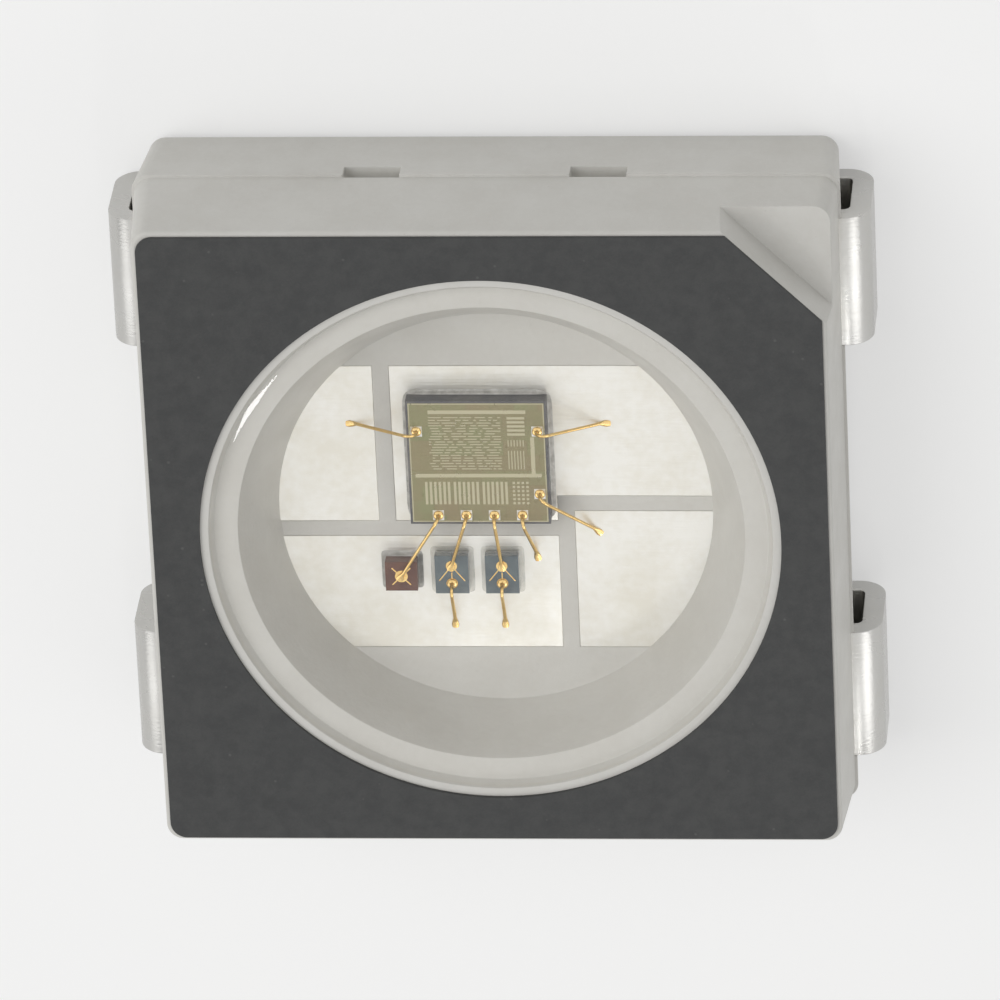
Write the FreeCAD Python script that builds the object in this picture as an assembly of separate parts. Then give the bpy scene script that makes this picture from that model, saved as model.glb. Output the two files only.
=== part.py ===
"""A surface-mount RGB LED in a 5050 package, with its own driver chip inside. Millimetres.

The part lies on its four solder feet at z = 0, with its window facing +Z. The origin is on
the solder plane under the middle of the window. The leads leave the body on the -X and +X
sides, and the corner mark is at +X, +Y.
"""

import FreeCAD, Part
import math
import os

from FreeCAD import Vector

# Heights of the package, from the solder plane
package_height = 1.60
standoff = 0.06
frame_top = 0.80

# Moulded body, with the parting line at the top of the lead frame
side_wall = 0.50
end_wall = 0.50
corner_radius = 0.12
edge_radius = 0.03
draft_angle = 4.0
parting_step = 0.02

# Cup for the light, from its floor up to the rim
cup_floor_radius = 1.55
cup_wall_run = 0.25
ledge_width = 0.17
ledge_depth = 0.10
rim_flare = 0.03

# Black coat on the face, with the rim of the cup left bare
coat_thickness = 0.03
coat_margin = 0.06

# Corner mark
mark_leg = 0.72
mark_depth = 0.35

# Marks that the mould leaves: the ejector pin below and the frame's tie bars at both ends
ejector_mark_radius = 0.45
ejector_mark_depth = 0.05
tie_bar_width = 0.40
tie_bar_pitch = 1.60
tie_bar_depth = 0.10

# Lead frame of plated copper
frame_thickness = 0.15
bend_radius = 0.05
lead_width = 1.00
lead_edge_margin = 0.35
foot_length = 0.95
foot_clearance = 0.03
foot_side_clearance = 0.05
anchor_inset = 0.05
anchor_width = 0.50

# Pads on the cup floor, with the slots between them
pad_half_width = 1.13
pad_gap = 0.12
upper_slot_x = -0.78
lower_slot_x = 0.50
left_slot_y = -0.17
right_slot_y = 0.03

# Driver chip
chip_length = 1.00
chip_width = 0.98
chip_thickness = 0.18
chip_x = -0.10
chip_y = 0.42

# Light-emitting dies, in one row
red_die_side = 0.23
red_die_thickness = 0.16
sapphire_die_length = 0.24
sapphire_die_width = 0.30
sapphire_die_thickness = 0.12
die_pitch = 0.36
die_row_x = -0.33
die_row_y = -0.50

# Glue under the chip and the dies
glue_thickness = 0.02
glue_climb = 0.02
glue_spread = 0.03
glue_film = 0.006

# Bond wires, each from a ball to a flattened stitch
wire_diameter = 0.025
wire_sides = 8
ball_diameter = 0.075
ball_height = 0.02
stitch_length = 0.09
stitch_width = 0.055
stitch_height = 0.014
stitch_slope = 0.012
loop_rise = 0.05
loop_radius = 0.05

# Places of the bonds on the chip, the dies and the lead frame
chip_pad_inset = 0.07
chip_pad_pitch = 0.20
upper_pad_rise = 0.25
lower_pad_drop = 0.25
die_pad_inset = 0.08
landing_inset = 0.16
ground_wire_reach = 0.40
return_wire_reach = 0.28

# Clear resin in the cup
resin_drop = 0.02
resin_sag = 0.05

cup_ledge_radius = cup_floor_radius + cup_wall_run
cup_shoulder_radius = cup_ledge_radius + ledge_width
cup_rim_radius = cup_shoulder_radius + rim_flare
housing_top = package_height - coat_thickness
ledge_z = housing_top - ledge_depth
half_length = cup_rim_radius + side_wall
half_width = cup_rim_radius + end_wall
frame_bottom = frame_top - frame_thickness
top_inset = parting_step + (housing_top - frame_top) * math.tan(math.radians(draft_angle))
top_half_length = half_length - top_inset
top_half_width = half_width - top_inset
lead_y = half_width - lead_edge_margin - lead_width / 2
lead_face_x = half_length + bend_radius + frame_thickness
foot_end_x = lead_face_x - foot_length
anchor_x = cup_floor_radius + anchor_inset
anchor_end_x = anchor_x + anchor_width
die_seat_z = frame_top + glue_thickness
chip_top = die_seat_z + chip_thickness
origin = Vector(0, 0, 0)
up = Vector(0, 0, 1)
tiny = 1e-6


def block(x, y, z):
    """A box between two values along each axis, given in any order."""
    low = Vector(min(x), min(y), min(z))
    size = Vector(max(x), max(y), max(z)) - low
    return Part.makeBox(size.x, size.y, size.z, low)


def leaning_block(half_x, half_y, inset, height):
    """A block centred on the Z axis from z = 0, with sides that lean in by the inset at its far end."""
    rise = abs(height)
    shape = Part.makeWedge(
        -half_x, 0, -half_y, inset - half_y, inset - half_x,
        half_x, rise, half_y, half_y - inset, half_x - inset,
    )
    shape.rotate(origin, Vector(1, 0, 0), math.copysign(90, height))
    return shape


def edges_between(shape, low_z, high_z):
    """The edges of a shape that run from one height to the other."""
    ends = sorted((low_z, high_z))
    return [e for e in shape.Edges if near(sorted((e.Vertexes[0].Z, e.Vertexes[-1].Z)), ends)]


def near(values, others):
    """Whether two lists of lengths are the same but for rounding."""
    return all(abs(value - other) < tiny for value, other in zip(values, others))


def moulded_half(half_x, half_y, end_z):
    """Half of the body: its walls lean in from the parting line, and its edges are round."""
    height = end_z - frame_top
    half = leaning_block(half_x, half_y, abs(height) * math.tan(math.radians(draft_angle)), height)
    half.translate(Vector(0, 0, frame_top))
    half = half.makeFillet(corner_radius, edges_between(half, frame_top, end_z))
    return half.makeFillet(edge_radius, edges_between(half, end_z, end_z))


def turned(points):
    """The solid turned about the Z axis from a closed outline of radius and height pairs."""
    corners = [Vector(radius, 0, z) for radius, z in points]
    outline = Part.makePolygon(corners + corners[:1])
    return Part.Face(outline).revolve(origin, up, 360)


def cup_space(brim_radius, brim_z):
    """The space of the stepped cup, from its floor up to the brim."""
    return turned([
        (0, frame_top),
        (cup_floor_radius, frame_top),
        (cup_ledge_radius, ledge_z),
        (cup_shoulder_radius, ledge_z),
        (brim_radius, brim_z),
        (0, brim_z),
    ])


def corner_mark_space(height):
    """What the mark cuts off the corner at +X, +Y, from its floor up to the given height."""
    reach = half_length + half_width
    distance = (top_half_length + top_half_width - mark_leg) / math.sqrt(2)
    space = block((distance, distance + reach), (-reach, reach), (housing_top - mark_depth, height))
    space.rotate(origin, up, 45)
    return space


def foot_space(side, end):
    """The pocket under the body that one foot lies in."""
    centre_y = end * lead_y
    reach_y = lead_width / 2 + foot_side_clearance
    return block(
        (side * (foot_end_x - foot_clearance), side * lead_face_x),
        (centre_y - reach_y, centre_y + reach_y),
        (0, frame_thickness + foot_clearance),
    )


def tie_bar_space(place, end):
    """The dent at one end of the body where a tie bar of the lead frame was cut out."""
    centre_x = place * tie_bar_pitch / 2
    return block(
        (centre_x - tie_bar_width / 2, centre_x + tie_bar_width / 2),
        (end * (half_width - tie_bar_depth), end * (half_width + tie_bar_depth)),
        (frame_bottom, frame_top),
    )


def housing(leads):
    """The white moulded body, shaped round the lead frame."""
    upper = moulded_half(half_length - parting_step, half_width - parting_step, housing_top)
    lower = moulded_half(half_length, half_width, standoff)
    ejector_mark = Part.makeCylinder(ejector_mark_radius, ejector_mark_depth, Vector(0, 0, standoff))
    corners = [(side, end) for side in (-1, 1) for end in (-1, 1)]
    feet = [foot_space(side, end) for side, end in corners]
    dents = [tie_bar_space(place, end) for place, end in corners]
    hollows = [cup_space(cup_rim_radius, housing_top), corner_mark_space(package_height), ejector_mark]
    return upper.fuse(lower).cut(hollows + feet + dents + leads)


def face_coat():
    """The black coat on the face of the body, open over the cup and the corner mark."""
    reach_x = top_half_length - edge_radius
    reach_y = top_half_width - edge_radius
    sheet = block((-reach_x, reach_x), (-reach_y, reach_y), (housing_top, package_height))
    sheet = sheet.makeFillet(corner_radius, edges_between(sheet, housing_top, package_height))
    window = Part.makeCylinder(cup_rim_radius + coat_margin, package_height)
    return sheet.cut([window, corner_mark_space(package_height)])


def bent_lead():
    """One lead at +X, from inside the body over the two bends to the end of its foot."""
    outer = bend_radius + frame_thickness
    upper_centre = Vector(half_length, 0, frame_bottom - bend_radius)
    lower_centre = Vector(half_length, 0, outer)

    def on_bend(centre, radius, angle):
        turn = math.radians(angle)
        return centre + Vector(radius * math.cos(turn), 0, radius * math.sin(turn))

    def bend(centre, radius, start, end):
        angles = (start, (start + end) / 2, end)
        return Part.Arc(*(on_bend(centre, radius, angle) for angle in angles)).toShape()

    anchor_low = Vector(anchor_x, 0, frame_bottom)
    anchor_high = Vector(anchor_x, 0, frame_top)
    foot_low = Vector(foot_end_x, 0, 0)
    foot_high = Vector(foot_end_x, 0, frame_thickness)
    edges = [
        Part.makeLine(anchor_high, on_bend(upper_centre, outer, 90)),
        bend(upper_centre, outer, 90, 0),
        Part.makeLine(on_bend(upper_centre, outer, 0), on_bend(lower_centre, outer, 0)),
        bend(lower_centre, outer, 0, -90),
        Part.makeLine(on_bend(lower_centre, outer, -90), foot_low),
        Part.makeLine(foot_low, foot_high),
        Part.makeLine(foot_high, on_bend(lower_centre, bend_radius, -90)),
        bend(lower_centre, bend_radius, -90, 0),
        Part.makeLine(on_bend(lower_centre, bend_radius, 0), on_bend(upper_centre, bend_radius, 0)),
        bend(upper_centre, bend_radius, 0, 90),
        Part.makeLine(on_bend(upper_centre, bend_radius, 90), anchor_low),
        Part.makeLine(anchor_low, anchor_high),
    ]
    strip = Part.Face(Part.Wire(edges)).extrude(Vector(0, lead_width, 0))
    strip.translate(Vector(0, -lead_width / 2, 0))
    return strip


def lead(side, end, pads):
    """One lead of the frame: its pads on the cup floor, its anchor in the wall and its bent end."""
    bent = bent_lead()
    if side < 0:
        bent = bent.mirror(origin, Vector(1, 0, 0))
    bent.translate(Vector(0, end * lead_y, 0))
    flat = (frame_bottom, frame_top)
    anchor_y = (end * pad_half_width / 2, end * (lead_y + lead_width / 2))
    anchor = block((side * anchor_x, side * anchor_end_x), anchor_y, flat)
    return anchor.fuse([bent] + [block(x, y, flat) for x, y in pads]).removeSplitter()


def lead_frame():
    """The four leads, by node name. The slots between their pads are filled by the body."""
    edge = pad_gap / 2
    top = pad_half_width
    return {
        "lead_data_out": lead(-1, 1, [
            ((-anchor_end_x, upper_slot_x - edge), (left_slot_y + edge, top)),
        ]),
        "lead_ground": lead(1, 1, [
            ((upper_slot_x + edge, anchor_end_x), (right_slot_y + edge, top)),
            ((upper_slot_x + edge, lower_slot_x - edge), (left_slot_y + edge, top)),
        ]),
        "lead_supply": lead(-1, -1, [
            ((-anchor_end_x, lower_slot_x - edge), (-top, left_slot_y - edge)),
        ]),
        "lead_data_in": lead(1, -1, [
            ((lower_slot_x + edge, anchor_end_x), (-top, right_slot_y - edge)),
        ]),
    }


def die(x, y, length, width, thickness):
    """A sawn die on its layer of glue."""
    return block(
        (x - length / 2, x + length / 2),
        (y - width / 2, y + width / 2),
        (die_seat_z, die_seat_z + thickness),
    )


def dies():
    """The driver chip and the three light-emitting dies, by node name."""
    sapphire = (sapphire_die_length, sapphire_die_width, sapphire_die_thickness)
    return {
        "driver_chip": die(chip_x, chip_y, chip_length, chip_width, chip_thickness),
        "red_die": die(die_row_x - die_pitch, die_row_y, red_die_side, red_die_side, red_die_thickness),
        "green_die": die(die_row_x, die_row_y, *sapphire),
        "blue_die": die(die_row_x + die_pitch, die_row_y, *sapphire),
    }


def glue(seated):
    """The glue under a die, squeezed out round it and climbing a little way up its sides."""
    box = seated.BoundBox
    margin = glue_film + glue_spread
    pool = leaning_block(
        box.XLength / 2 + margin, box.YLength / 2 + margin, glue_spread, glue_thickness + glue_climb,
    )
    pool.translate(Vector(box.Center.x, box.Center.y, frame_top))
    return pool.cut(seated)


def wire_section(diameter):
    """A section across the Z axis. The hair-thin wires repeat, so they have few sides."""
    steps = [2 * math.pi * step / wire_sides for step in range(wire_sides + 1)]
    corners = [Vector(math.cos(step), math.sin(step), 0) * (diameter / 2) for step in steps]
    return Part.Face(Part.makePolygon(corners))


def bond_wire(start, finish):
    """A wire from its ball at the start, up, over a round bend and straight down to its stitch."""
    span = finish - start
    run = math.hypot(span.x, span.y)
    centre = Vector(loop_radius, 0, ball_height + loop_rise)
    ahead = run - centre.x
    drop = centre.z - span.z
    slope_length = math.sqrt(ahead ** 2 + drop ** 2 - loop_radius ** 2)
    fall = math.atan2(drop, ahead) + math.atan2(loop_radius, slope_length)
    turn = (centre, Vector(0, 1, 0), 90 + math.degrees(fall))

    ball = wire_section(ball_diameter).extrude(Vector(0, 0, ball_height))
    section = wire_section(wire_diameter)
    riser = section.extrude(Vector(0, 0, centre.z))
    section.translate(Vector(0, 0, centre.z))
    bend = section.revolve(*turn)
    section.rotate(*turn)
    slope = section.extrude(Vector(math.cos(fall), 0, -math.sin(fall)) * slope_length)
    stitch = leaning_block(stitch_length / 2, stitch_width / 2, stitch_slope, stitch_height)
    stitch.translate(Vector(run, 0, span.z))
    below = block((0, run + stitch_length), (-stitch_width, stitch_width), (span.z - wire_diameter, span.z))

    wire = ball.fuse([riser, bend, slope, stitch]).cut(below).removeSplitter()
    wire.rotate(origin, up, math.degrees(math.atan2(span.y, span.x)))
    wire.translate(start)
    return wire


def chip_bonds():
    """The places of the balls on the driver chip, by what their wires go to."""
    left = chip_x - chip_length / 2 + chip_pad_inset
    right = chip_x + chip_length / 2 - chip_pad_inset
    front = chip_y - chip_width / 2 + chip_pad_inset
    bonds = {
        "data_out": Vector(left, chip_y + upper_pad_rise, chip_top),
        "ground": Vector(right, chip_y + upper_pad_rise, chip_top),
        "data_in": Vector(right, chip_y - lower_pad_drop, chip_top),
    }
    for place, name in zip((-1.5, -0.5, 0.5, 1.5), ("red", "green", "blue", "supply")):
        bonds[name] = Vector(chip_x + place * chip_pad_pitch, front, chip_top)
    return bonds


def die_bonds():
    """The places of the bonds on the dies: the red one has one on top, the others two in line."""
    blue_x = die_row_x + die_pitch
    red_top = die_seat_z + red_die_thickness
    sapphire_top = die_seat_z + sapphire_die_thickness
    offset = sapphire_die_width / 2 - die_pad_inset
    return {
        "red": Vector(die_row_x - die_pitch, die_row_y, red_top),
        "green": Vector(die_row_x, die_row_y + offset, sapphire_top),
        "blue": Vector(blue_x, die_row_y + offset, sapphire_top),
        "green_return": Vector(die_row_x, die_row_y - offset, sapphire_top),
        "blue_return": Vector(blue_x, die_row_y - offset, sapphire_top),
    }


def bond_wires():
    """The nine bond wires, by node name."""
    on_chip = chip_bonds()
    on_dies = die_bonds()
    inset = pad_gap / 2 + landing_inset
    landings = {
        "data_out": Vector(upper_slot_x - inset, on_chip["data_out"].y, frame_top),
        "ground": Vector(chip_x + chip_length / 2 + ground_wire_reach, on_chip["ground"].y, frame_top),
        "data_in": Vector(lower_slot_x + inset, right_slot_y - inset, frame_top),
        "supply": Vector(lower_slot_x - inset, left_slot_y - inset, frame_top),
    }
    stitches = {**on_dies, **landings}
    wires = {name: (start, stitches[name]) for name, start in on_chip.items()}
    for name in ("green_return", "blue_return"):
        start = on_dies[name]
        landing_y = die_row_y - sapphire_die_width / 2 - return_wire_reach
        wires[name] = (start, Vector(start.x, landing_y, frame_top))
    return {f"wire_{name}": bond_wire(*ends) for name, ends in wires.items()}


def clear_resin(buried):
    """The resin that fills the cup round everything in it. Its surface dips towards the middle."""
    brim_z = housing_top - resin_drop
    brim_radius = cup_rim_radius - rim_flare * resin_drop / ledge_depth
    dip_radius = (brim_radius ** 2 + resin_sag ** 2) / (2 * resin_sag)
    dip = Part.makeSphere(dip_radius, Vector(0, 0, brim_z - resin_sag + dip_radius))
    return cup_space(brim_radius, brim_z).cut([dip] + buried)


def build():
    """Every node of the part, by name."""
    leads = lead_frame()
    seated = dies()
    glued = {f"{name}_glue": glue(shape) for name, shape in seated.items()}
    inside = {**seated, **glued, **bond_wires()}
    return {
        "housing": housing(list(leads.values())),
        "face_coat": face_coat(),
        "clear_resin": clear_resin(list(inside.values())),
        **leads,
        **inside,
    }


os.makedirs("parts", exist_ok=True)
for name, shape in build().items():
    shape.exportStep(f"parts/{name}.step")
    print(f"{name}: {len(shape.Solids)} solid, {shape.Volume:.5f} mm3, valid {shape.isValid()}")
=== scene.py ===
"""The looks of a surface-mount RGB LED with a black face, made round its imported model. Metres.

The window faces +Z and the corner mark is at +X, +Y. Sizes with no unit behind them are metres.
"""

import bmesh
import bpy
import math
import random

from mathutils import Matrix, Vector


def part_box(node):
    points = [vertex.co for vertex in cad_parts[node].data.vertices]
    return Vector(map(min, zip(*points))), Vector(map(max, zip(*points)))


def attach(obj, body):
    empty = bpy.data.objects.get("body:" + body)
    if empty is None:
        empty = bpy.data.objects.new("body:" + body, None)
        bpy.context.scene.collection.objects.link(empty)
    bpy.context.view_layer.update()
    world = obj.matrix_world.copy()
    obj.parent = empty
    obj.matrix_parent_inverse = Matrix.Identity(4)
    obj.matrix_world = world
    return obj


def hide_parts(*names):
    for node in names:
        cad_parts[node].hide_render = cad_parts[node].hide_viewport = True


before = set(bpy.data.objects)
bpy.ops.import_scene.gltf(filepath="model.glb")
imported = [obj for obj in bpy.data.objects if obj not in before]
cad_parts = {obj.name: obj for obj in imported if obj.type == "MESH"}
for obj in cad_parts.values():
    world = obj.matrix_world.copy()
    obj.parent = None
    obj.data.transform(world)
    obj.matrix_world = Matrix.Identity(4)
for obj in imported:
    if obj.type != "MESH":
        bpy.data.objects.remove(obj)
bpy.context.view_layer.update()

mm = 0.001
micron = 0.000001

# Camera: how far it leans from straight above, and how far from +Y towards +X it leans
camera_lean = math.radians(28)
camera_swing = math.radians(11)
camera_lens = 400
camera_distance = 79 * mm
camera_aim = Vector((0.02, 0.0, 0.95)) * mm

# Edges: how far each kind of piece is rounded
moulded_edge = 6 * micron
coat_edge = 7 * micron
stamped_edge = 6 * micron
sawn_edge = 1.5 * micron
smooth_angle = math.radians(32)

# Merging the model's facets, in millimetres: which corners are one, and which faces are level
merge_distance = 0.001
level_angle = math.radians(0.6)

# Cup, as in the model
cup_floor_radius = 1.55 * mm
cup_ledge_radius = 1.80 * mm
cup_shoulder_radius = 1.97 * mm
cup_rim_radius = 2.00 * mm
coat_window_radius = 2.06 * mm
ejector_mark_radius = 0.45 * mm
ledge_depth = 0.10 * mm
rings = (
    cup_floor_radius, cup_ledge_radius, cup_shoulder_radius, cup_rim_radius,
    coat_window_radius, ejector_mark_radius,
)
ring_cuts = 3
longest_chord = 0.3  # as a share of the circle's radius
resin_overlap = 4 * micron
resin_sag = 0.05 * mm
resin_steps = 22
resin_sides = 168

# Leads
foot_length = 0.95 * mm

# Bond wires
wire_diameter = 25 * micron
wire_sides = 14
ball_radius = 37.5 * micron
ball_height = 20 * micron
loop_rise = 0.05 * mm
loop_radius = 0.05 * mm
bend_steps = 9
stitch_length = 85 * micron

# What is on top of the chip
chip_kerf = 16 * micron
circuit_thickness = 2 * micron
strap_height = 1.2 * micron
circuit_columns = 90
circuit_rows = 88
chip_pad_side = 80 * micron
chip_pad_thickness = 1.5 * micron
cell_width = 20 * micron
block_width = 170 * micron

# Electrodes of the dies, and the thin arms that spread the current
electrode_thickness = 2.5 * micron
electrode_sides = 28
electrode_radius = 42 * micron
red_electrode_radius = 48 * micron
finger_length = 150 * micron
finger_spread = math.radians(38)
near_arm_length = 88 * micron
arm_width = 8 * micron
red_arm_length = 95 * micron
red_arm_width = 10 * micron

# Glue
glue_cells = 6
glue_steps = ((11, 5), (12, 12), (9, 19))  # across and up, in microns
glue_unevenness = 5 * micron

# Light: the surround's level, and its brightness in reflections in bands from the horizon, at a height
# of 0, to straight up, at 1. Its panels are brighter still, and so is the floor to the camera.
surround_level = 0.52
surround_bands = (
    (0.02, 1.0), (0.16, 0.86), (0.42, 0.42), (0.58, 0.52), (0.76, 1.0), (0.90, 0.93), (0.98, 0.92),
)
panel_directions = ((-0.70, -0.46, 0.55), (0.70, -0.46, 0.55), (-0.68, 0.56, 0.47), (0.68, 0.56, 0.47))
panel_level = 1.1
floor_glow = 0.45


def take_up(piece):
    """Makes a piece the only one selected, and the one that operators act on."""
    bpy.ops.object.select_all(action="DESELECT")
    piece.select_set(True)
    bpy.context.view_layer.objects.active = piece


def just_added(name):
    """The primitive that was added last, under its own name."""
    piece = bpy.context.object
    piece.name = piece.data.name = name
    return piece


def settle(piece):
    """Puts the place, turn and size of a piece into its mesh."""
    take_up(piece)
    bpy.ops.object.transform_apply(location=True, rotation=True, scale=True)
    return piece


def start_editing(piece):
    """Opens a piece for shaping by its faces, with all of it selected."""
    take_up(piece)
    bpy.ops.object.mode_set(mode="EDIT")
    bpy.ops.mesh.select_mode(type="FACE")
    bpy.ops.mesh.select_all(action="SELECT")


def stop_editing():
    bpy.ops.object.mode_set(mode="OBJECT")


def pick_faces(piece, wanted):
    """Selects just the faces whose middle and normal are wanted."""
    bpy.ops.mesh.select_all(action="DESELECT")
    mesh = bmesh.from_edit_mesh(piece.data)
    for face in mesh.faces:
        face.select_set(wanted(face.calc_center_median(), face.normal))
    bmesh.update_edit_mesh(piece.data)


def pull_out(step, size=1.0):
    """Extrudes what is selected by a step, and widens or narrows its new end."""
    bpy.ops.mesh.extrude_region_move(TRANSFORM_OT_translate={"value": step})
    if size != 1.0:
        bpy.ops.transform.resize(value=(size, size, 1))


def round_edges(piece, width, segments=3):
    """Rounds the sharp edges of a piece."""
    take_up(piece)
    bevel = piece.modifiers.new("Rounded edges", "BEVEL")
    bevel.width = width
    bevel.segments = segments
    bevel.limit_method = "ANGLE"
    bevel.angle_limit = smooth_angle
    bevel.use_clamp_overlap = False
    bevel.loop_slide = False
    bpy.ops.object.modifier_apply(modifier=bevel.name)


def even_out(piece):
    """Shades a piece smoothly between its sharp edges, with its flat faces kept flat."""
    take_up(piece)
    bpy.ops.object.shade_smooth_by_angle(angle=smooth_angle)
    even = piece.modifiers.new("Flat faces", "WEIGHTED_NORMAL")
    even.keep_sharp = True
    even.weight = 90
    bpy.ops.object.modifier_apply(modifier=even.name)


def join(pieces, name):
    """Joins several meshes to one piece."""
    take_up(pieces[0])
    for piece in pieces[1:]:
        piece.select_set(True)
    if len(pieces) > 1:
        bpy.ops.object.join()
    pieces[0].name = pieces[0].data.name = name
    return pieces[0]


def copy_at(piece, places, name):
    """A copy of a small piece at each place, joined to one."""
    copies = []
    for place in places:
        copy = bpy.data.objects.new(name, piece.data.copy())
        bpy.context.collection.objects.link(copy)
        copy.location = place
        copies.append(settle(copy))
    bpy.data.objects.remove(piece)
    return join(copies, name)


def divide_rings(piece):
    """Divides the chords of the circles about the Z axis, and moves the new corners out to the circle.
    The mesh is in millimetres here."""
    mesh = bmesh.from_edit_mesh(piece.data)
    radii = [ring / mm for ring in rings]

    def ring_of(vertex):
        radius = vertex.co.xy.length
        return next((ring for ring in radii if abs(radius - ring) < merge_distance), None)

    def is_chord(edge):
        first, last = edge.verts
        ring = ring_of(first)
        level = abs(first.co.z - last.co.z) < merge_distance
        return ring and level and ring == ring_of(last) and edge.calc_length() < longest_chord * ring

    chords = [edge for edge in mesh.edges if is_chord(edge)]
    made = bmesh.ops.subdivide_edges(mesh, edges=chords, cuts=ring_cuts)["geom_inner"]
    for vertex in [part for part in made if isinstance(part, bmesh.types.BMVert)]:
        radius = vertex.co.xy.length
        vertex.co.xy *= min(radii, key=lambda ring: abs(ring - radius)) / radius
    bmesh.update_edit_mesh(piece.data)


def scaled(piece, factor):
    """Scales a piece and its mesh about the origin."""
    piece.scale = (factor, factor, factor)
    return settle(piece)


def made_fine(node, name, edge):
    """A piece with the form of one node: its facets merged to whole faces, and its edges rounded.
    It is worked on in millimetres, because whole metres leave such small faces too few digits."""
    piece = bpy.data.objects.new(name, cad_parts[node].data.copy())
    bpy.context.collection.objects.link(piece)
    scaled(piece, 1 / mm)
    start_editing(piece)
    bpy.ops.mesh.remove_doubles(threshold=merge_distance)
    bpy.ops.mesh.dissolve_limited(angle_limit=level_angle)
    divide_rings(piece)
    bpy.ops.mesh.select_face_by_sides(number=4, type="GREATER", extend=False)
    bpy.ops.mesh.quads_convert_to_tris(ngon_method="BEAUTY")
    stop_editing()
    round_edges(piece, edge / mm)
    scaled(piece, mm)
    even_out(piece)
    return piece


def finish_piece(piece, finish, slot, *nodes):
    """Gives a piece its material, and puts it in the place of its nodes. The slot is not used."""
    piece.data.materials.clear()
    piece.data.materials.append(finish)
    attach(piece, "root")
    if nodes:
        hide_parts(*nodes)
    return piece


# Shader nodes


def add(tree, kind, inputs=None, **settings):
    """One shader node. An input is given by its name or number, as a value or another node's socket."""
    made = tree.nodes.new("ShaderNode" + kind)
    for name, value in settings.items():
        setattr(made, name, value)
    for name, value in (inputs or {}).items():
        if isinstance(value, bpy.types.NodeSocket):
            tree.links.new(value, made.inputs[name])
        else:
            made.inputs[name].default_value = value
    return made


def maths(tree, operation, first, second=0.0, clamp=False):
    return add(tree, "Math", {0: first, 1: second}, operation=operation, use_clamp=clamp).outputs[0]


def mixed(tree, share, first, second):
    """A mix of two colours."""
    return add(tree, "Mix", {0: share, 6: first, 7: second}, data_type="RGBA").outputs[2]


def ranged(tree, value, low, high, new_low=0.0, new_high=1.0):
    """A value moved from one range to another, and kept in it."""
    inputs = {0: value, 1: low, 2: high, 3: new_low, 4: new_high}
    return add(tree, "MapRange", inputs).outputs[0]


def noise(tree, vector, scale, detail=3.0, roughness=0.55):
    inputs = {"Vector": vector, "Scale": scale, "Detail": detail, "Roughness": roughness}
    return add(tree, "TexNoise", inputs).outputs[0]


def shade(red, green, blue):
    return (red, green, blue, 1.0)


def new_group(name, inputs, outputs):
    """An empty node group: its tree, the sockets that come in, and its output node."""
    tree = bpy.data.node_groups.new(name, "ShaderNodeTree")
    for kind, sockets in (("INPUT", inputs), ("OUTPUT", outputs)):
        for socket, form in sockets.items():
            tree.interface.new_socket(socket, in_out=kind, socket_type="NodeSocket" + form)
    given = tree.nodes.new("NodeGroupInput")
    result = tree.nodes.new("NodeGroupOutput")
    return tree, given.outputs, result


def deliver(tree, result, **values):
    """Links values to the outputs of a group, whose names have spaces for underscores."""
    for name, value in values.items():
        tree.links.new(value, result.inputs[name.replace("_", " ").capitalize()])


def make_mottle():
    """Two close colours in soft patches, with a finer mottle in them."""
    tree, given, result = new_group(
        "mottle",
        {"Vector": "Vector", "Colour": "Color", "Other colour": "Color", "Scale": "Float", "Amount": "Float"},
        {"Colour": "Color", "Mask": "Float"},
    )
    broad = noise(tree, given["Vector"], given["Scale"], 2.0)
    fine = noise(tree, given["Vector"], maths(tree, "MULTIPLY", given["Scale"], 9.0), 3.0)
    blend = maths(tree, "ADD", maths(tree, "MULTIPLY", broad, 0.65), maths(tree, "MULTIPLY", fine, 0.35))
    mask = maths(tree, "MULTIPLY", ranged(tree, blend, 0.38, 0.62), given["Amount"])
    deliver(tree, result, colour=mixed(tree, mask, given["Colour"], given["Other colour"]), mask=mask)
    return tree


def make_grain():
    """The texture of a moulded or printed face: fine grain on a broader swell."""
    tree, given, result = new_group(
        "grain",
        {"Vector": "Vector", "Scale": "Float", "Roughness": "Float", "Spread": "Float"},
        {"Height": "Float", "Roughness": "Float"},
    )
    fine = noise(tree, given["Vector"], given["Scale"], 4.0, 0.6)
    broad = noise(tree, given["Vector"], maths(tree, "MULTIPLY", given["Scale"], 0.17), 2.0)
    height = maths(tree, "ADD", maths(tree, "MULTIPLY", fine, 0.4), maths(tree, "MULTIPLY", broad, 0.6))
    change = maths(tree, "MULTIPLY", maths(tree, "SUBTRACT", broad, 0.5), given["Spread"])
    rough = maths(tree, "ADD", given["Roughness"], change, clamp=True)
    deliver(tree, result, height=height, roughness=rough)
    return tree


def make_specks():
    """Scattered specks, such as dust or filler that shows at the surface."""
    tree, given, result = new_group(
        "specks",
        {"Vector": "Vector", "Scale": "Float", "Share": "Float"},
        {"Mask": "Float"},
    )
    cells = add(tree, "TexVoronoi", {"Vector": given["Vector"], "Scale": given["Scale"]}, feature="F1")
    pick = add(tree, "SeparateColor", {0: cells.outputs["Color"]}).outputs[0]
    chosen = maths(tree, "LESS_THAN", pick, given["Share"])
    dot = ranged(tree, cells.outputs["Distance"], 0.10, 0.22, 1.0, 0.0)
    deliver(tree, result, mask=maths(tree, "MULTIPLY", chosen, dot))
    return tree


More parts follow.
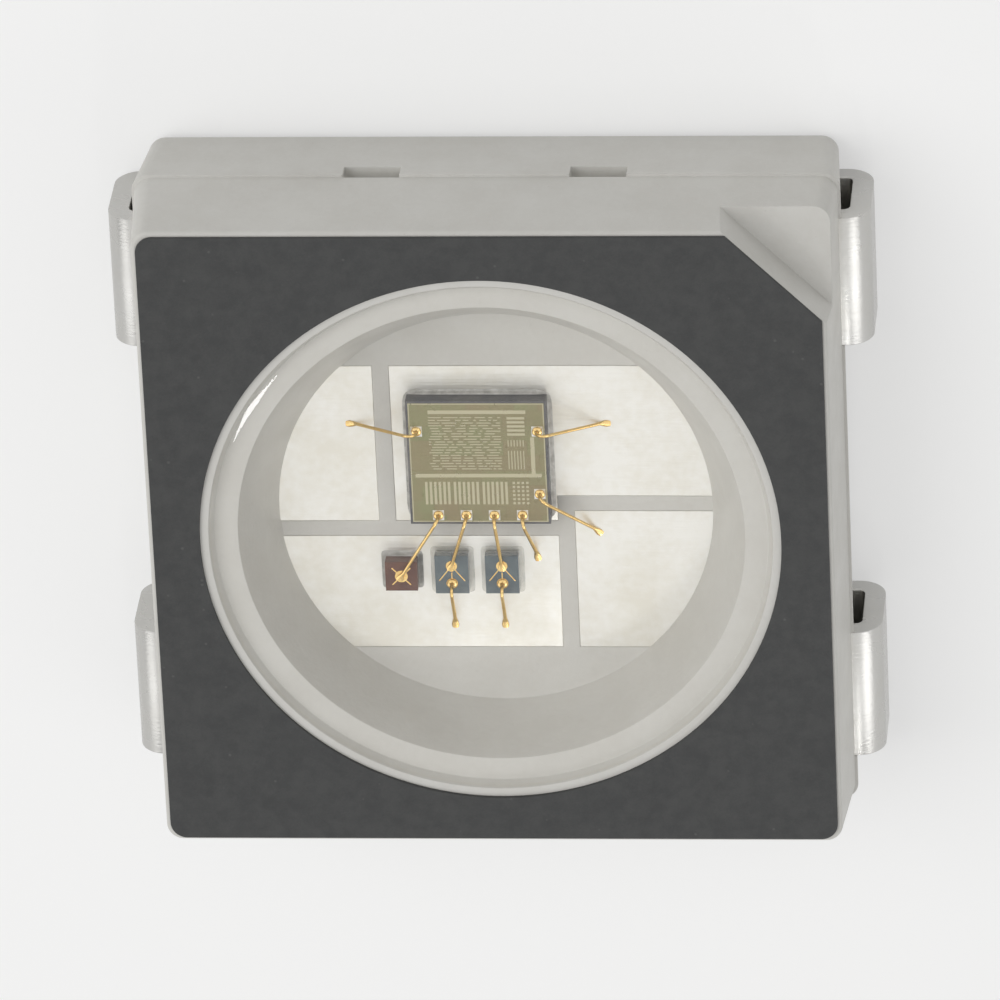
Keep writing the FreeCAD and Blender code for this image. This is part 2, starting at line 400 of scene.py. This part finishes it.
def make_drawn_lines():
    """Fine lines along X, as a rolled strip has under its plating."""
    tree, given, result = new_group(
        "drawn_lines",
        {"Vector": "Vector", "Scale": "Float", "Roughness": "Float", "Spread": "Float"},
        {"Height": "Float", "Roughness": "Float"},
    )
    stretched = add(tree, "Mapping", {"Vector": given["Vector"], "Scale": (0.06, 1.0, 1.0)})
    lines = noise(tree, stretched.outputs[0], given["Scale"], 3.0, 0.6)
    cloud = noise(tree, given["Vector"], maths(tree, "MULTIPLY", given["Scale"], 0.06), 2.0)
    change = maths(tree, "MULTIPLY", maths(tree, "SUBTRACT", cloud, 0.5), given["Spread"])
    rough = maths(tree, "ADD", given["Roughness"], change, clamp=True)
    deliver(tree, result, height=lines, roughness=rough)
    return tree


mottle = make_mottle()
grain = make_grain()
specks = make_specks()
drawn_lines = make_drawn_lines()


def effect(tree, group, **inputs):
    """A node group placed in a material with its own values. Underscores stand for spaces."""
    made = tree.nodes.new("ShaderNodeGroup")
    made.node_tree = group
    for name, value in inputs.items():
        socket = made.inputs[name.replace("_", " ").capitalize()]
        if isinstance(value, bpy.types.NodeSocket):
            tree.links.new(value, socket)
        else:
            socket.default_value = value
    return made.outputs


def new_material(name, **constants):
    """A material with one Principled shader. Constants name its sockets, with underscores for spaces."""
    material = bpy.data.materials.new(name)
    material.use_nodes = True
    tree = material.node_tree
    shader = tree.nodes["Principled BSDF"]
    for socket, value in constants.items():
        shader.inputs[socket.replace("_", " ")].default_value = value
    place = add(tree, "TexCoord").outputs["Object"]
    return material, tree, shader, place


def raise_surface(tree, shader, height, depth):
    """Bump of a real depth."""
    bump = add(tree, "Bump", {"Height": height, "Distance": depth, "Strength": 1.0})
    tree.links.new(bump.outputs[0], shader.inputs["Normal"])


def colour_surface(tree, shader, colour):
    tree.links.new(colour, shader.inputs["Base Color"])


def roughen(tree, shader, value):
    tree.links.new(value, shader.inputs["Roughness"])


def mix_surface(tree, share, first, second):
    """Shows a mix of two shaders as the surface."""
    both = add(tree, "MixShader", {0: share, 1: first.outputs[0], 2: second.outputs[0]})
    output = next(node for node in tree.nodes if node.type == "OUTPUT_MATERIAL")
    tree.links.new(both.outputs[0], output.inputs["Surface"])


def white_plastic():
    """Highly filled white moulding compound, a little warm, with the mould's spark-eroded grain."""
    material, tree, shader, place = new_material("white_plastic")
    patches = effect(
        tree, mottle, vector=place, scale=2600.0, amount=0.5,
        colour=shade(0.61, 0.60, 0.567), other_colour=shade(0.555, 0.54, 0.502),
    )
    dots = effect(tree, specks, vector=place, scale=26000.0, share=0.05)
    share = maths(tree, "MULTIPLY", dots["Mask"], 0.35)
    colour = mixed(tree, share, patches["Colour"], shade(0.5, 0.48, 0.44))
    face = effect(tree, grain, vector=place, scale=24000.0, roughness=0.44, spread=0.3)
    colour_surface(tree, shader, colour)
    roughen(tree, shader, face["Roughness"])
    raise_surface(tree, shader, face["Height"], 7.0 * micron)
    return material


def black_coat():
    """Matt black printed coat with an orange-peel face, a few pale specks and its matting grain."""
    material, tree, shader, place = new_material("black_coat")
    patches = effect(
        tree, mottle, vector=place, scale=9000.0, amount=0.9,
        colour=shade(0.031, 0.032, 0.032), other_colour=shade(0.045, 0.046, 0.045),
    )
    dots = effect(tree, specks, vector=place, scale=16000.0, share=0.06)
    share = maths(tree, "MULTIPLY", dots["Mask"], 0.35)
    colour = mixed(tree, share, patches["Colour"], shade(0.12, 0.12, 0.115))
    face = effect(tree, grain, vector=place, scale=26000.0, roughness=0.54, spread=0.2)
    colour_surface(tree, shader, colour)
    roughen(tree, shader, face["Roughness"])
    raise_surface(tree, shader, face["Height"], 14.0 * micron)
    return material


def clear_resin_finish():
    """Clear silicone. Light that falls through it goes straight on, so that what it covers is lit."""
    material, tree, shader, place = new_material(
        "clear_resin", Base_Color=shade(1.0, 0.995, 0.985), Roughness=0.0, IOR=1.46, Transmission_Weight=1.0,
    )
    swell = noise(tree, place, 1500.0, 2.0)
    raise_surface(tree, shader, swell, 0.5 * micron)
    path = add(tree, "LightPath")
    straight = maths(tree, "MAXIMUM", path.outputs["Is Shadow Ray"], path.outputs["Is Diffuse Ray"])
    straight = maths(tree, "MAXIMUM", straight, path.outputs["Is Glossy Ray"])
    through = add(tree, "BsdfTransparent", {"Color": shade(0.99, 0.985, 0.97)})
    mix_surface(tree, straight, shader, through)
    return material


def silver_plating():
    """Matt silver plating on a rolled copper strip. It has dulled outside the body, and the copper shows
    at the cut end of each foot."""
    material, tree, shader, place = new_material("silver_plating", Metallic=1.0)
    patches = effect(
        tree, mottle, vector=place, scale=1700.0, amount=0.9,
        colour=shade(0.85, 0.84, 0.80), other_colour=shade(0.77, 0.745, 0.67),
    )
    axes = add(tree, "SeparateXYZ", {"Vector": place})
    reach = maths(tree, "ABSOLUTE", axes.outputs["X"])
    outside = ranged(tree, reach, 2.30 * mm, 2.55 * mm)
    below = ranged(tree, axes.outputs["Z"], 0.16 * mm, 0.12 * mm)
    dull = maths(tree, "MAXIMUM", outside, below)
    colour = mixed(tree, maths(tree, "MULTIPLY", dull, 0.85), patches["Colour"], shade(0.50, 0.495, 0.48))
    foot_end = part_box("lead_ground")[1].x - foot_length
    cut = maths(tree, "MULTIPLY", below, ranged(tree, reach, foot_end + 3 * micron, foot_end + micron))
    colour = mixed(tree, cut, colour, shade(0.72, 0.36, 0.22))
    lines = effect(tree, drawn_lines, vector=place, scale=60000.0, roughness=0.42, spread=0.2)
    colour_surface(tree, shader, colour)
    roughen(tree, shader, maths(tree, "SUBTRACT", lines["Roughness"], maths(tree, "MULTIPLY", dull, 0.14)))
    raise_surface(tree, shader, lines["Height"], 2.0 * micron)
    return material


def silicon():
    """The sawn sides of the driver chip."""
    material, tree, shader, place = new_material("silicon", Metallic=0.35)
    saw = effect(tree, grain, vector=place, scale=90000.0, roughness=0.5, spread=0.3)
    patches = effect(
        tree, mottle, vector=place, scale=4000.0, amount=1.0,
        colour=shade(0.10, 0.10, 0.11), other_colour=shade(0.17, 0.165, 0.16),
    )
    colour_surface(tree, shader, patches["Colour"])
    roughen(tree, shader, saw["Roughness"])
    raise_surface(tree, shader, saw["Height"], 1.0 * micron)
    return material


def cell_rows(tree, place, width, row_height, gap, first, second, between):
    """Rows of cells in two colours. Row height and gap are shares of twice a cell's width."""
    inputs = {
        "Vector": place, "Scale": 0.5 / width, "Brick Width": 0.5, "Row Height": row_height,
        "Mortar Size": gap, "Color1": shade(*first), "Color2": shade(*second), "Mortar": shade(*between),
    }
    return add(tree, "TexBrick", inputs).outputs["Color"]


def chip_circuit_finish():
    """The oxide over the chip's circuits, olive brown in rows of cells, with metal straps on it."""
    material, tree, shader, place = new_material("chip_circuit", Coat_Weight=0.3, Coat_Roughness=0.1)
    cells = cell_rows(
        tree, place, cell_width, 0.2, 0.03, (0.27, 0.255, 0.115), (0.35, 0.325, 0.17), (0.18, 0.155, 0.07),
    )
    blocks = cell_rows(
        tree, place, block_width, 0.35, 0.006, (0.30, 0.23, 0.14), (0.24, 0.29, 0.14), (0.2, 0.16, 0.08),
    )
    tinted = mixed(tree, 0.4, cells, blocks)
    patches = effect(
        tree, mottle, vector=place, scale=6500.0, amount=0.35,
        colour=tinted, other_colour=shade(0.27, 0.2, 0.12),
    )
    height = add(tree, "SeparateXYZ", {"Vector": place}).outputs["Z"]
    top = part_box("driver_chip")[1].z + circuit_thickness
    strap = ranged(tree, height, top + 0.3 * micron, top + 0.9 * micron)
    film = effect(tree, grain, vector=place, scale=60000.0, roughness=0.3, spread=0.2)
    colour_surface(tree, shader, mixed(tree, strap, patches["Colour"], shade(0.52, 0.48, 0.33)))
    tree.links.new(maths(tree, "MULTIPLY", strap, 0.7), shader.inputs["Metallic"])
    roughen(tree, shader, film["Roughness"])
    raise_surface(tree, shader, film["Height"], 0.4 * micron)
    return material


def bond_pad_metal():
    """Bare aluminium of the chip's bond pads, dented by the bonding."""
    material, tree, shader, place = new_material("bond_pad_metal", Metallic=1.0)
    patches = effect(
        tree, mottle, vector=place, scale=30000.0, amount=1.0,
        colour=shade(0.86, 0.86, 0.84), other_colour=shade(0.68, 0.67, 0.63),
    )
    face = effect(tree, grain, vector=place, scale=120000.0, roughness=0.3, spread=0.3)
    colour_surface(tree, shader, patches["Colour"])
    roughen(tree, shader, face["Roughness"])
    raise_surface(tree, shader, face["Height"], 0.6 * micron)
    return material


def red_crystal():
    """The red die: an opaque dark crystal, with a reddish body and a rough sawn side."""
    material, tree, shader, place = new_material("red_crystal")
    patches = effect(
        tree, mottle, vector=place, scale=9000.0, amount=1.0,
        colour=shade(0.10, 0.045, 0.035), other_colour=shade(0.16, 0.075, 0.05),
    )
    face = effect(tree, grain, vector=place, scale=110000.0, roughness=0.34, spread=0.25)
    colour_surface(tree, shader, patches["Colour"])
    roughen(tree, shader, face["Roughness"])
    raise_surface(tree, shader, face["Height"], 0.8 * micron)
    return material


def sapphire():
    """A blue or green die: a sapphire body with its dark active layer on top."""
    material, tree, shader, place = new_material("sapphire", Coat_Weight=0.6, Coat_Roughness=0.05)
    patches = effect(
        tree, mottle, vector=place, scale=8000.0, amount=1.0,
        colour=shade(0.075, 0.10, 0.115), other_colour=shade(0.12, 0.15, 0.16),
    )
    face = effect(tree, grain, vector=place, scale=110000.0, roughness=0.22, spread=0.2)
    colour_surface(tree, shader, patches["Colour"])
    roughen(tree, shader, face["Roughness"])
    raise_surface(tree, shader, face["Height"], 0.5 * micron)
    return material


def silver_glue():
    """Silver-filled die glue, grey and grainy."""
    material, tree, shader, place = new_material("silver_glue", Metallic=0.55)
    patches = effect(
        tree, mottle, vector=place, scale=16000.0, amount=1.0,
        colour=shade(0.62, 0.61, 0.59), other_colour=shade(0.42, 0.41, 0.39),
    )
    face = effect(tree, grain, vector=place, scale=70000.0, roughness=0.55, spread=0.3)
    colour_surface(tree, shader, patches["Colour"])
    roughen(tree, shader, face["Roughness"])
    raise_surface(tree, shader, face["Height"], 3.0 * micron)
    return material


def clear_glue():
    """Clear die glue, a thin glossy fillet that is only just seen."""
    material, tree, shader, place = new_material("clear_glue")
    patches = effect(
        tree, mottle, vector=place, scale=9000.0, amount=1.0,
        colour=shade(0.80, 0.79, 0.72), other_colour=shade(0.66, 0.64, 0.56),
    )
    face = effect(tree, grain, vector=place, scale=30000.0, roughness=0.16, spread=0.1)
    colour_surface(tree, shader, patches["Colour"])
    roughen(tree, shader, face["Roughness"])
    tree.links.new(ranged(tree, patches["Mask"], 0.0, 1.0, 0.18, 0.3), shader.inputs["Alpha"])
    raise_surface(tree, shader, face["Height"], 1.0 * micron)
    return material


def gold_wire():
    """Drawn gold of the wires, balls and electrodes."""
    material, tree, shader, place = new_material("gold_wire", Metallic=1.0)
    patches = effect(
        tree, mottle, vector=place, scale=12000.0, amount=1.0,
        colour=shade(0.95, 0.69, 0.30), other_colour=shade(0.86, 0.58, 0.23),
    )
    face = effect(tree, grain, vector=place, scale=150000.0, roughness=0.24, spread=0.15)
    colour_surface(tree, shader, patches["Colour"])
    roughen(tree, shader, face["Roughness"])
    raise_surface(tree, shader, face["Height"], 0.5 * micron)
    return material


# New pieces


def resin_filling():
    """The clear filling of the cup. It reaches a hair into the walls, and its surface dips in the middle."""
    low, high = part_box("clear_resin")
    ledge_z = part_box("housing")[1].z - ledge_depth
    brim_radius = high.y
    floor = cup_floor_radius + resin_overlap
    ledge = cup_ledge_radius + resin_overlap
    shoulder = cup_shoulder_radius + resin_overlap
    bpy.ops.mesh.primitive_circle_add(
        vertices=resin_sides, radius=floor, fill_type="NGON", location=(0, 0, low.z - resin_overlap),
    )
    piece = settle(just_added("resin_filling"))
    start_editing(piece)
    pull_out((0, 0, ledge_z - low.z), ledge / floor)
    pull_out((0, 0, 0), shoulder / ledge)
    pull_out((0, 0, high.z - ledge_z + resin_overlap), brim_radius / shoulder)

    def share_of(ring):
        return (1 - ring / (resin_steps + 1)) ** 0.45

    def climb(share):
        return resin_sag * (0.55 * share ** 2 + 0.45 * share ** 26)

    for ring in range(resin_steps):
        outer, inner = share_of(ring), share_of(ring + 1)
        bpy.ops.mesh.inset(thickness=(outer - inner) * brim_radius, use_even_offset=True)
        bpy.ops.transform.translate(value=(0, 0, climb(inner) - climb(outer)))
    bpy.ops.mesh.poke()
    bpy.ops.mesh.select_all(action="SELECT")
    bpy.ops.mesh.normals_make_consistent(inside=False)
    stop_editing()
    take_up(piece)
    bpy.ops.object.shade_smooth_by_angle(angle=smooth_angle)
    return piece


def wire_ends(node, ball_z):
    """The middle of a wire's ball and of its stitch, read from where the wire meets both surfaces."""
    vertices = [vertex.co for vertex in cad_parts[node].data.vertices]
    stitch_z = min(place.z for place in vertices)

    def middle(z):
        level = [place for place in vertices if abs(place.z - z) < 0.1 * micron]
        low = Vector((min(place.x for place in level), min(place.y for place in level), z))
        high = Vector((max(place.x for place in level), max(place.y for place in level), z))
        return (low + high) / 2

    return middle(ball_z), middle(stitch_z)


def bond_wire(name, ball, stitch):
    """A gold wire: a squashed ball, a neck, a round bend, a long slope and a flattened stitch."""
    span = stitch - ball
    run = math.hypot(span.x, span.y)
    wire_radius = wire_diameter / 2
    centre = Vector((loop_radius, 0, ball_height + loop_rise))
    ahead = run - 0.4 * stitch_length - centre.x
    drop = centre.z - span.z - wire_radius
    slope_length = math.sqrt(ahead ** 2 + drop ** 2 - loop_radius ** 2)
    fall = math.atan2(drop, ahead) + math.atan2(loop_radius, slope_length)
    # The ball and its neck, as heights and radii in those of the ball
    outline = [
        (0.12, 0.93), (0.42, 1.0), (0.75, 0.95), (0.96, 0.78), (1.05, 0.56), (1.25, 0.42), (1.7, 0.34),
    ]
    # The stitch in steps: how far ahead, how far down, how much wider and how much flatter
    flattening = [(0.3, 0.35, 1.7, 0.62), (0.3, 0.33, 1.25, 0.5), (0.25, 0.2, 0.85, 0.4)]

    height, radius = 0.0, 0.82
    bpy.ops.mesh.primitive_circle_add(vertices=wire_sides, radius=radius * ball_radius, fill_type="NGON")
    piece = just_added(name)
    start_editing(piece)
    for next_height, next_radius in outline:
        pull_out((0, 0, (next_height - height) * ball_height), next_radius / radius)
        height, radius = next_height, next_radius
    pull_out((0, 0, centre.z - height * ball_height), wire_radius / (radius * ball_radius))
    bpy.ops.mesh.spin(
        steps=bend_steps, angle=-(math.pi / 2 + fall), center=centre, axis=(0, 1, 0),
    )
    pull_out(Vector((math.cos(fall), 0, -math.sin(fall))) * slope_length)
    for ahead, sink, wider, flatter in flattening:
        pull_out(Vector((ahead * stitch_length, 0, -sink * wire_radius)))
        bpy.ops.transform.resize(value=(1, wider, flatter))
    bpy.ops.mesh.select_all(action="SELECT")
    bpy.ops.mesh.normals_make_consistent(inside=False)
    stop_editing()
    piece.rotation_euler = (0, 0, math.atan2(span.y, span.x))
    piece.location = ball
    settle(piece)
    take_up(piece)
    bpy.ops.object.shade_smooth_by_angle(angle=math.radians(50))
    return piece


def circuit_plan():
    """The cells of the chip's top that carry a metal strap, as columns and rows from its lower left."""
    chance = random.Random(5)
    straps = set()

    def strip(columns, rows):
        straps.update((column, row) for column in range(*columns) for row in range(*rows))

    # Three output stages along the front, each with its fingers
    for column in (9, 28, 47):
        for step in range(0, 18, 3):
            strip((column + step, column + step + 2), (13, 30))
    # Rails: across the middle, up the right side and across the top
    strip((3, 87), (33, 36))
    strip((80, 83), (33, 63))
    strip((13, 78), (80, 83))
    # Rows of logic, as runs of metal of uneven length
    for row in range(39, 78, 2):
        column = 13 + chance.randrange(3)
        while column < 60:
            length = chance.randrange(2, 11)
            strip((column, min(column + length, 61)), (row, row + 1))
            column += length + chance.randrange(1, 4)
    # Resistors, dots of capacitors, and wide bars at the right
    for column in range(65, 77, 2):
        strip((column, column + 1), (39, 53))
        strip((column, column + 1), (56, 61))
    for column in range(67, 78, 3):
        for row in range(13, 30, 3):
            strip((column, column + 2), (row, row + 2))
    for row in range(64, 77, 3):
        strip((65, 77), (row, row + 2))
    # The ring along the chip's edge
    for column in range(circuit_columns):
        straps.update({(column, 0), (column, circuit_rows - 1)})
    for row in range(circuit_rows):
        straps.update({(0, row), (circuit_columns - 1, row)})
    return straps


def chip_circuit():
    """The layers on top of the driver chip: a raised ring at the edge, and straps over its circuits."""
    low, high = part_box("driver_chip")
    size = high - low
    middle = (low + high) / 2
    straps = circuit_plan()
    bpy.ops.mesh.primitive_grid_add(
        x_subdivisions=circuit_columns, y_subdivisions=circuit_rows, size=1,
        location=(middle.x, middle.y, high.z),
    )
    piece = just_added("chip_circuit")
    piece.scale = (size.x - 2 * chip_kerf, size.y - 2 * chip_kerf, 1)
    settle(piece)
    wall = piece.modifiers.new("Layers", "SOLIDIFY")
    wall.thickness = circuit_thickness
    wall.offset = 1
    take_up(piece)
    bpy.ops.object.modifier_apply(modifier=wall.name)

    def wanted(place, normal):
        column = int(((place.x - middle.x) / (size.x - 2 * chip_kerf) + 0.5) * circuit_columns)
        row = int(((place.y - middle.y) / (size.y - 2 * chip_kerf) + 0.5) * circuit_rows)
        return normal.z > 0.9 and (column, row) in straps

    start_editing(piece)
    pick_faces(piece, wanted)
    bpy.ops.mesh.inset(thickness=1.6 * micron, use_even_offset=True)
    pull_out((0, 0, strap_height))
    stop_editing()
    return piece


def chip_pads(places):
    """The chip's bond pads: thin square plates, each with a frame round its opening."""
    bpy.ops.mesh.primitive_plane_add(size=chip_pad_side)
    pad = just_added("chip_pads")
    start_editing(pad)
    pull_out((0, 0, circuit_thickness + chip_pad_thickness))
    bpy.ops.mesh.inset(thickness=5 * micron)
    bpy.ops.mesh.inset(thickness=1.5 * micron)
    bpy.ops.transform.translate(value=(0, 0, -0.8 * micron))
    bpy.ops.mesh.select_all(action="SELECT")
    bpy.ops.mesh.normals_make_consistent(inside=False)
    stop_editing()
    return copy_at(pad, places, "chip_pads")


def electrode(name, radius, arms):
    """A round gold electrode with thin arms, each given by its angle, length and width."""
    bpy.ops.mesh.primitive_circle_add(vertices=electrode_sides, radius=radius, fill_type="NGON")
    disc = just_added(name)
    start_editing(disc)
    pull_out((0, 0, electrode_thickness), 0.96)
    bpy.ops.mesh.select_all(action="SELECT")
    bpy.ops.mesh.normals_make_consistent(inside=False)
    stop_editing()
    parts = [disc]
    for angle, length, width in arms:
        bpy.ops.mesh.primitive_plane_add(size=1)
        arm = just_added(name)
        start_editing(arm)
        pull_out((0, 0, 0.8 * electrode_thickness), 0.9)
        bpy.ops.mesh.select_all(action="SELECT")
        bpy.ops.mesh.normals_make_consistent(inside=False)
        stop_editing()
        arm.scale = (length, width, 1)
        arm.rotation_euler = (0, 0, angle)
        arm.location = Vector((math.cos(angle), math.sin(angle), 0)) * length / 2
        parts.append(settle(arm))
    return join(parts, name)


def glue_fillet(node):
    """Glue that has run out a little round its die, with an uneven outline, and climbed up its sides."""
    low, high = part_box(node)
    size = high - low
    middle = (low + high) / 2
    bpy.ops.mesh.primitive_grid_add(
        x_subdivisions=glue_cells, y_subdivisions=glue_cells, size=1,
        location=(middle.x, middle.y, low.z - 2 * micron),
    )
    piece = just_added(f"{node}_fillet")
    piece.scale = (size.x, size.y, 1)
    settle(piece)
    start_editing(piece)
    pull_out((0, 0, 4 * micron))
    for across, rise in glue_steps:
        bpy.ops.mesh.inset(thickness=across * micron, depth=rise * micron)
    bpy.ops.mesh.select_all(action="SELECT")
    bpy.ops.mesh.normals_make_consistent(inside=False)
    bpy.ops.transform.vertex_random(offset=glue_unevenness, seed=len(node))
    stop_editing()
    soft = piece.modifiers.new("Soft outline", "SUBSURF")
    soft.levels = soft.render_levels = 2
    take_up(piece)
    bpy.ops.object.modifier_apply(modifier=soft.name)
    bpy.ops.object.shade_smooth()
    return piece


def pale_floor():
    """The floor. Part of it glows towards the camera and in reflections, so that it looks nearly white."""
    bpy.ops.mesh.primitive_plane_add(size=2.0)
    floor = just_added("floor")
    material, tree, shader, place = new_material("floor", Base_Color=shade(0.86, 0.86, 0.85), Roughness=0.9)
    white = add(tree, "Emission", {"Color": shade(1.0, 1.0, 1.0), "Strength": 1.0})
    path = add(tree, "LightPath").outputs
    seen = maths(tree, "MAXIMUM", path["Is Camera Ray"], path["Is Glossy Ray"])
    seen = maths(tree, "MAXIMUM", seen, path["Is Transmission Ray"])
    mix_surface(tree, maths(tree, "MULTIPLY", seen, floor_glow), shader, white)
    floor.data.materials.append(material)


def surround():
    """An even surround, white to the camera. In reflections it has bands and four bright panels."""
    world = bpy.data.worlds.new("surround")
    world.use_nodes = True
    bpy.context.scene.world = world
    tree = world.node_tree
    path = add(tree, "LightPath").outputs
    place = add(tree, "TexCoord").outputs["Generated"]
    height = add(tree, "SeparateXYZ", {"Vector": place}).outputs["Z"]
    bands = add(tree, "ValToRGB", {"Fac": height})
    ramp = bands.color_ramp
    for position, level in surround_bands:
        stop = ramp.elements.new(position)
        stop.color = shade(level, level, level)
    ramp.elements.remove(ramp.elements[0])
    ramp.elements.remove(ramp.elements[-1])
    level = bands.outputs["Color"]
    for direction in panel_directions:
        towards = add(
            tree, "VectorMath", {0: place, 1: Vector(direction).normalized()}, operation="DOT_PRODUCT",
        ).outputs["Value"]
        level = maths(tree, "ADD", level, ranged(tree, towards, 0.93, 0.98, 0.0, panel_level))
    in_gloss = maths(tree, "MULTIPLY", path["Is Glossy Ray"], level)
    seen = maths(tree, "MAXIMUM", path["Is Camera Ray"], path["Is Transmission Ray"])
    seen = maths(tree, "MAXIMUM", seen, in_gloss)
    background = tree.nodes["Background"]
    background.inputs["Color"].default_value = shade(1.0, 1.0, 1.0)
    tree.links.new(maths(tree, "MAXIMUM", seen, surround_level), background.inputs["Strength"])


def lamp(name, place, side, power):
    """A square soft light that points at the part. Place and side are in millimetres."""
    data = bpy.data.lights.new(name, "AREA")
    data.shape = "SQUARE"
    data.size = side * mm
    data.energy = power
    light = bpy.data.objects.new(name, data)
    bpy.context.scene.collection.objects.link(light)
    light.visible_camera = False
    light.location = Vector(place) * mm
    light.rotation_euler = (-Vector(place)).to_track_quat("-Z", "Y").to_euler()
    return light


def lights():
    """A soft key light from the left, a weaker one from the right, and a small one for crisp highlights.
    The key light stays out of reflections, where the surround's panels show instead."""
    key = lamp("key_light", (-46, 16, 72), 70, 0.034)
    key.visible_glossy = False
    lamp("fill_light", (58, -36, 58), 60, 0.007)
    lamp("window_light", (14, -60, 76), 8, 0.003)


def set_camera():
    """The camera of the picture: it looks down on the window with +Y at the top."""
    data = bpy.data.cameras.new("camera")
    data.lens = camera_lens
    data.clip_start = mm
    data.clip_end = 10
    camera = bpy.data.objects.new("camera", data)
    bpy.context.scene.collection.objects.link(camera)
    level = math.sin(camera_lean)
    back = Vector((level * math.sin(camera_swing), level * math.cos(camera_swing), math.cos(camera_lean)))
    right = (Vector((1, 0, 0)) - back * back.x).normalized()
    camera.rotation_euler = Matrix((right, back.cross(right), back)).transposed().to_euler()
    camera.location = camera_aim + back * camera_distance
    bpy.context.scene.camera = camera


def dress_body():
    """The moulded body with its black face, the clear filling and the four plated leads."""
    body = made_fine("housing", "moulded_body", moulded_edge)
    finish_piece(body, white_plastic(), "white_plastic", "housing")
    face = made_fine("face_coat", "black_face", coat_edge)
    finish_piece(face, black_coat(), "black_coat", "face_coat")
    finish_piece(resin_filling(), clear_resin_finish(), "clear_resin", "clear_resin")
    plating = silver_plating()
    for end in ("data_out", "ground", "supply", "data_in"):
        node = f"lead_{end}"
        finish_piece(made_fine(node, f"plated_{node}", stamped_edge), plating, "silver_plating", node)


def dress_chips():
    """The driver chip with its circuits, the three dies, and the glue under each."""
    finish_piece(made_fine("driver_chip", "chip_body", sawn_edge), silicon(), "silicon", "driver_chip")
    finish_piece(chip_circuit(), chip_circuit_finish(), "silicon")
    finish_piece(made_fine("red_die", "red_crystal", sawn_edge), red_crystal(), "red_crystal", "red_die")
    crystal = sapphire()
    for colour in ("green", "blue"):
        node = f"{colour}_die"
        finish_piece(made_fine(node, f"{colour}_crystal", sawn_edge), crystal, "sapphire", node)
    paste = silver_glue()
    clear = clear_glue()
    for node, finish, slot in (
        ("driver_chip_glue", paste, "silver_glue"),
        ("red_die_glue", paste, "silver_glue"),
        ("green_die_glue", clear, "clear_glue"),
        ("blue_die_glue", clear, "clear_glue"),
    ):
        finish_piece(glue_fillet(node), finish, slot, node)


def dress_wires():
    """The bond wires, with the chip's pads under them and the dies' electrodes."""
    gold = gold_wire()
    chip_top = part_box("driver_chip")[1].z
    on_chip = []
    for end in ("data_out", "ground", "data_in", "supply", "red", "green", "blue"):
        node = f"wire_{end}"
        ball, stitch = wire_ends(node, chip_top)
        on_chip.append(ball)
        finish_piece(bond_wire(f"gold_{node}", ball, stitch), gold, "gold_wire", node)
    finish_piece(chip_pads(on_chip), bond_pad_metal(), "silicon")

    straight_up = math.pi / 2
    for colour in ("green", "blue"):
        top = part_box(f"{colour}_die")[1].z
        node = f"wire_{colour}_return"
        ball, landing = wire_ends(node, top)
        finish_piece(bond_wire(f"gold_{node}", ball, landing), gold, "gold_wire", node)
        stitch = wire_ends(f"wire_{colour}", chip_top)[1]
        fingers = [(-straight_up + side * finger_spread, finger_length, arm_width) for side in (-1, 1)]
        far = electrode(f"{colour}_far_electrode", electrode_radius, fingers)
        near = electrode(
            f"{colour}_near_electrode", electrode_radius, [(straight_up, near_arm_length, arm_width)],
        )
        far.location = stitch
        near.location = ball
        settle(far)
        settle(near)
        finish_piece(join([far, near], f"{colour}_die_electrodes"), gold, "gold_wire")

    arms = [(math.radians(45 + 90 * turn), red_arm_length, red_arm_width) for turn in range(4)]
    red = electrode("red_die_electrode", red_electrode_radius, arms)
    red.location = wire_ends("wire_red", chip_top)[1]
    finish_piece(settle(red), gold, "gold_wire")


dress_body()
dress_chips()
dress_wires()
pale_floor()
surround()
lights()
set_camera()
bpy.context.scene.view_settings.view_transform = "Standard"
